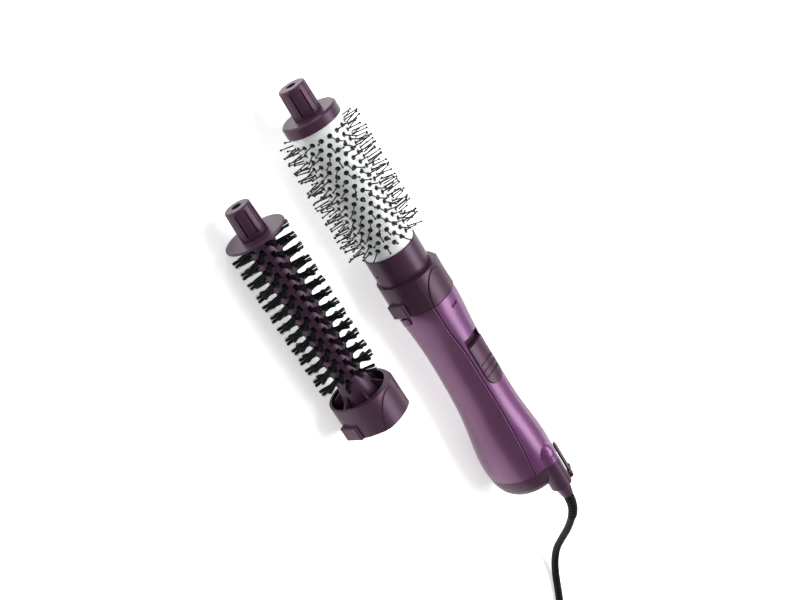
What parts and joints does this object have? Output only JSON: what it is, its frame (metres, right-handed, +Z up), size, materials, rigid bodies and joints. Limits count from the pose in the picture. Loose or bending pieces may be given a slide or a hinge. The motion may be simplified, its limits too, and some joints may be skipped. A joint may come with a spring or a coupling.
{
  "type": "hot air brush",
  "caption": "Corded hot air hair brush with a perforated thermal barrel head, a latched collar, a two-speed slide switch and a second head with retractable bristles.",
  "frame": {"origin": "on the table, under the middle of the box round the brush and its loose head, cord left out", "axes": "+X along the brush from its tip to the cord, +Y from the loose bristle head to the brush, +Z up out of the switch's face"},
  "size_m": [0.6155, 0.1916, 0.0633],
  "materials": {
    "shell_metallic": "metallic purple lacquer",
    "cover_gloss": "glossy lilac purple",
    "plum_plastic": "satin plum",
    "button_purple": "satin purple",
    "hood_plastic": "satin plum",
    "white_ceramic": "white ceramic coating on aluminium",
    "black_nylon": "moulded nylon",
    "bristle_nylon": "nylon bristle",
    "steel": "zinc plated",
    "zinc_steel": "plated steel can",
    "mica": "mica sheet",
    "resistance_wire": "drawn wire",
    "nickel": "nickel plated",
    "circuit_board": "epoxy board",
    "black_plastic": "moulded plastic",
    "wire_jacket": "silicone jacket",
    "filter_mesh": "woven mesh",
    "cord_rubber": "soft PVC"
  },
  "bodies": {
    "handle": {"rear_shell": "shell_metallic", "front_cover": "cover_gloss", "shell_screws": "steel", "end_band": "plum_plastic", "cord_outlet": "plum_plastic", "guard_hood": "hood_plastic", "switch_plate": "plum_plastic", "switch_block": "black_plastic", "outlet_spigot": "black_plastic", "motor_can": "zinc_steel", "motor_mount": "black_plastic", "heater_tube": "mica", "heater_board": "mica", "heater_coil": "resistance_wire", "thermostat": "nickel", "diode_board": "circuit_board", "cord_clamp": "black_plastic", "power_leads": "wire_jacket", "release_spring": "steel", "cord_guard": "cord_rubber", "cord": "cord_rubber", "cord_coil": "cord_rubber", "coil_tie": "black_nylon", "plug_body": "cord_rubber", "plug_pins": "nickel"},
    "thermal_head": {"lock_collar": "plum_plastic", "barrel_sleeve": "plum_plastic", "barrel": "white_ceramic", "barrel_core": "black_nylon", "end_cap": "plum_plastic", "tip_knob": "plum_plastic", "tip_screw": "steel", "pin_comb_1": "black_nylon", "pin_comb_2": "black_nylon", "pin_comb_3": "black_nylon", "pin_comb_4": "black_nylon", "pin_comb_5": "black_nylon", "pin_comb_6": "black_nylon"},
    "bristle_head": {"spare_collar": "plum_plastic", "spare_core": "plum_plastic", "spare_disc": "plum_plastic", "bristle_row_1": "bristle_nylon", "bristle_row_2": "bristle_nylon", "bristle_row_3": "bristle_nylon", "bristle_row_4": "bristle_nylon", "bristle_row_5": "bristle_nylon", "bristle_row_6": "bristle_nylon", "bristle_row_7": "bristle_nylon", "bristle_row_8": "bristle_nylon", "bristle_row_9": "bristle_nylon", "bristle_row_10": "bristle_nylon"},
    "retract_knob": {"spare_knob": "plum_plastic", "bristle_carrier": "black_nylon"},
    "speed_slider": {"switch_slider": "plum_plastic"},
    "head_release": {"release_button": "button_purple"},
    "fan": {"motor_shaft": "steel", "impeller": "black_plastic"},
    "loop": {"hanging_loop": "plum_plastic"},
    "rear_grille": {"inlet_grille": "plum_plastic", "inlet_filter": "filter_mesh"}
  },
  "joints": [
    {"name": "thermal_head_pull", "type": "slide", "parent": "handle", "child": "thermal_head", "axis": [-1, 0, 0], "range_m": [0, 0.06]},
    {"name": "bristle_head_lift", "type": "slide", "parent": "handle", "child": "bristle_head", "axis": [0, 0, 1], "range_m": [0, 0.08]},
    {"name": "retract_knob_turn", "type": "hinge", "parent": "bristle_head", "child": "retract_knob", "pos_m": [-0.14475, -0.0464, 0.0225], "axis": [1, 0, 0], "range_deg": [0, 90]},
    {"name": "speed_slide", "type": "slide", "parent": "handle", "child": "speed_slider", "axis": [-1, 0, 0], "range_m": [0, 0.006]},
    {"name": "release_press", "type": "slide", "parent": "handle", "child": "head_release", "axis": [0, 1, 0], "range_m": [0, 0.0015], "stiffness_N_per_m": 900, "springref_m": -0.001},
    {"name": "fan_spin", "type": "hinge", "parent": "handle", "child": "fan", "pos_m": [0.14225, 0.0406, 0.03], "axis": [1, 0, 0], "continuous": true},
    {"name": "loop_swing", "type": "hinge", "parent": "handle", "child": "loop", "pos_m": [0.17225, 0.053, 0.057], "axis": [0, 0.8192, -0.5736], "range_deg": [0, 170]},
    {"name": "rear_grille_pull", "type": "slide", "parent": "handle", "child": "rear_grille", "axis": [1, 0, 0], "range_m": [0, 0.014]}
  ]
}
